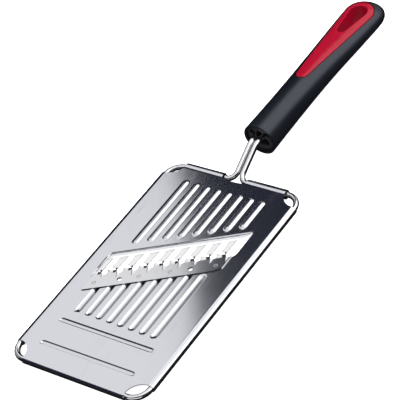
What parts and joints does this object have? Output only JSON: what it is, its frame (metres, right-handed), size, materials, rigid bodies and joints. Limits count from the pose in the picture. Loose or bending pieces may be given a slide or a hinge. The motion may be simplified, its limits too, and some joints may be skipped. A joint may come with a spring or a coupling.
{
  "type": "mandoline slicer",
  "caption": "Hand-held julienne slicer: rod-framed pressed steel plate with ribs, toothed blade strip over a diagonal slot, and a moulded handle with a hanging loop.",
  "frame": {"origin": "middle of the footprint of the whole slicer, on the surface that it lies on, plate face up", "axes": "+Y from the plate towards the handle, +X across the plate, +Z out of the slicing face"},
  "size_m": [0.112, 0.37, 0.0248],
  "materials": {
    "rod_steel": "polished",
    "plate_steel": "fine satin",
    "blade_steel": "fine satin",
    "weld_steel": "satin",
    "core_plastic": "matt",
    "grip_plastic": "satin",
    "inlay_plastic": "semi-gloss"
  },
  "bodies": {
    "root": {"wire_frame": "rod_steel", "slicer_plate": "plate_steel", "julienne_blade": "blade_steel", "spot_welds": "weld_steel", "handle_core": "core_plastic", "handle_grip": "grip_plastic", "loop_inlay": "inlay_plastic"}
  },
  "joints": []
}
